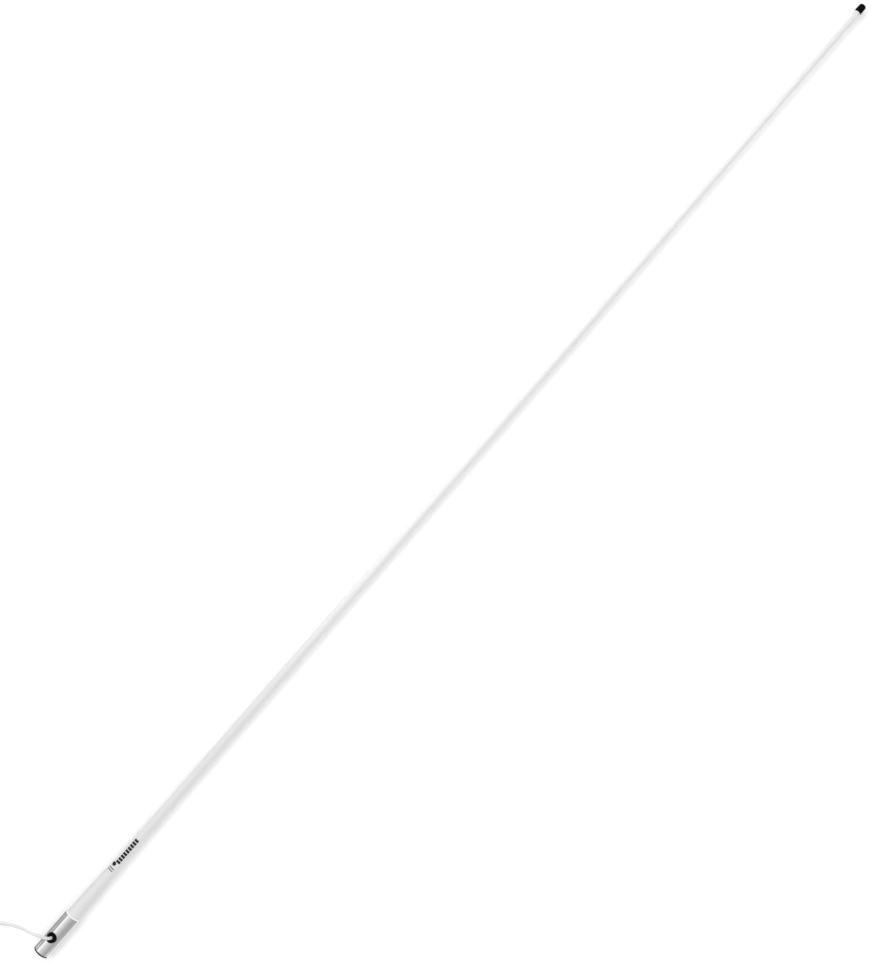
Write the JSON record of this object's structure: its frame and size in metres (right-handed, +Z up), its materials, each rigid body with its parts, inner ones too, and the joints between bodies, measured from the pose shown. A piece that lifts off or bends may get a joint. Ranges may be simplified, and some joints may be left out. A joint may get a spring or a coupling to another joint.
{
  "type": "omnidirectional antenna",
  "caption": "Long tapered white fibreglass whip antenna with a plated threaded base, a side cable outlet, a black end cap and a coaxial lead with a screw-on plug.",
  "frame": {"origin": "centre of the threaded socket's mouth, on the antenna's axis", "axes": "+X along the antenna from the socket's mouth to the tip, +Z up with the cable outlet on top, the antenna lying on a surface at z = -16 mm"},
  "size_m": [2.6032, 0.1808, 0.0677],
  "materials": {
    "chrome_plate": "polished plating",
    "black_rubber": "matt moulded rubber",
    "white_seal": "smooth bead",
    "white_fibreglass": "polished gel coat",
    "epoxy": "cast",
    "white_cable": "extruded jacket",
    "foam": "cut foam",
    "brass": "drawn tube",
    "insulator": "turned",
    "copper": "bare wire",
    "black_plastic": "moulded",
    "nickel_plate": "bright nickel"
  },
  "bodies": {
    "antenna": {"ferrule": "chrome_plate", "cable_grommet": "black_rubber", "seal_ring": "white_seal", "radome": "white_fibreglass", "base_potting": "epoxy", "feed_coax": "white_cable", "foam_spacers": "foam", "decoupling_sleeve": "brass", "sleeve_spacers": "insulator", "sleeve_collar": "brass", "feed_insulator": "insulator", "feed_conductor": "copper", "feed_slug": "brass", "lower_radiator": "brass", "coil_former": "insulator", "phasing_coil": "copper", "coil_terminals": "brass", "coil_heatshrink": "black_plastic", "upper_radiator": "brass", "tip_plug": "foam", "tip_cap": "black_rubber", "coax_lead": "white_cable", "coax_coil": "white_cable", "coax_tail": "white_cable", "coil_tie": "black_plastic", "plug_boot": "black_plastic", "plug_reducer": "nickel_plate", "plug_body": "nickel_plate", "plug_insulator": "insulator", "plug_pin": "nickel_plate"},
    "nut": {"coupling_nut": "nickel_plate"}
  },
  "joints": [
    {"name": "nut_spin", "type": "hinge", "parent": "antenna", "child": "nut", "pos_m": [-0.156, 0.072, -0.0067], "axis": [0, -1, 0], "continuous": true}
  ]
}
